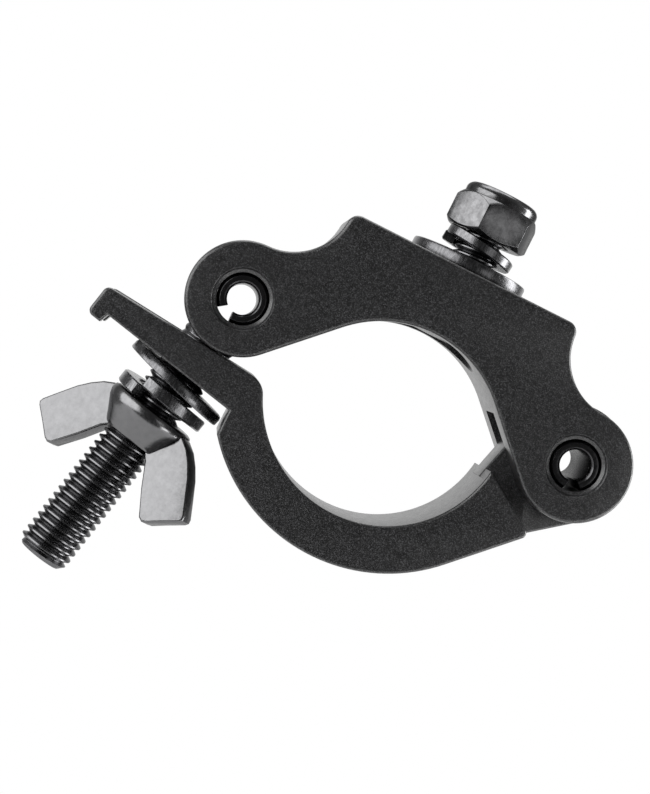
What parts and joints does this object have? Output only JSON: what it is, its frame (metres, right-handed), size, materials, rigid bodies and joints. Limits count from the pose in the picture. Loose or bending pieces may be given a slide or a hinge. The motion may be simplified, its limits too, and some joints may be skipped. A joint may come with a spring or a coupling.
{
  "type": "pipe clamp",
  "caption": "Slim half coupler for 48 to 51 mm tube: saddle jaw, hinged lower jaw, swing bolt with wing nut, and a mounting bolt.",
  "frame": {"origin": "on the axis of the clamped tube, at the middle of the jaws' width", "axes": "+Y along the tube, +Z along the mounting bolt away from the tube, +X from the swing bolt towards the hinge"},
  "size_m": [0.1196, 0.03, 0.1138],
  "materials": {
    "powder_coat": "black powder coat with a fine sparkle, over extruded aluminium",
    "pin_steel": "black plated spring steel",
    "bolt_steel": "dark nickel plate, glossy",
    "washer_steel": "dark nickel plate, stamped edges",
    "spring_steel": "dark nickel plate over spring steel",
    "forged_steel": "dark nickel plate over a forging",
    "nut_steel": "dark nickel plate, glossy",
    "nylon": "off-white nylon"
  },
  "bodies": {
    "saddle": {"upper_jaw": "powder_coat", "hinge_pin": "pin_steel", "swing_bolt_pin": "pin_steel", "mounting_bolt": "bolt_steel"},
    "closing_jaw": {"lower_jaw": "powder_coat"},
    "eye_bolt": {"swing_bolt": "bolt_steel"},
    "flat_washer": {"clamp_washer": "washer_steel"},
    "spring_washer": {"clamp_spring_washer": "spring_steel"},
    "wing": {"wing_nut": "forged_steel"},
    "stud_washer": {"mounting_washer": "washer_steel"},
    "stud_spring_washer": {"mounting_spring_washer": "spring_steel"},
    "stud_nut": {"lock_nut": "nut_steel", "lock_nut_insert": "nylon"}
  },
  "joints": [
    {"name": "wing_nut_travel", "type": "slide", "parent": "eye_bolt", "child": "spring_washer", "axis": [-0.2045, 0, -0.9789], "range_m": [0, 0.033]},
    {"name": "wing_nut_spin", "type": "hinge", "parent": "spring_washer", "child": "wing", "pos_m": [-0.0388, 0, 0.0137], "axis": [-0.2045, 0, -0.9789], "range_deg": [0, 6789]},
    {"name": "clamp_washer_slide", "type": "slide", "parent": "eye_bolt", "child": "flat_washer", "axis": [-0.2045, 0, -0.9789], "range_m": [0, 0.033]},
    {"name": "swing_bolt_swing", "type": "hinge", "parent": "saddle", "child": "eye_bolt", "pos_m": [-0.0388, 0, 0.0137], "axis": [0, 1, 0], "range_deg": [0, 110]},
    {"name": "lower_jaw_open", "type": "hinge", "parent": "saddle", "child": "closing_jaw", "pos_m": [0.0388, 0, 0.0137], "axis": [0, -1, 0], "range_deg": [0, 120]},
    {"name": "lock_nut_travel", "type": "slide", "parent": "saddle", "child": "stud_spring_washer", "axis": [0, 0, 1], "range_m": [0, 0.0075]},
    {"name": "lock_nut_spin", "type": "hinge", "parent": "stud_spring_washer", "child": "stud_nut", "pos_m": [0.0016, 0, 0.05], "axis": [0, 0, 1], "range_deg": [0, 1800]},
    {"name": "mounting_washer_lift", "type": "slide", "parent": "saddle", "child": "stud_washer", "axis": [0, 0, 1], "range_m": [0, 0.0008]}
  ],
  "couplings": [
    {"joint": "wing_nut_spin", "follows": "wing_nut_travel", "rad_per_m": 3590.4},
    {"joint": "clamp_washer_slide", "follows": "wing_nut_travel", "ratio": 1},
    {"joint": "swing_bolt_swing", "follows": "wing_nut_travel", "rad_per_m": 23.8},
    {"joint": "lower_jaw_open", "follows": "wing_nut_travel", "rad_per_m": 5.2889},
    {"joint": "lock_nut_spin", "follows": "lock_nut_travel", "rad_per_m": 4188.8}
  ]
}
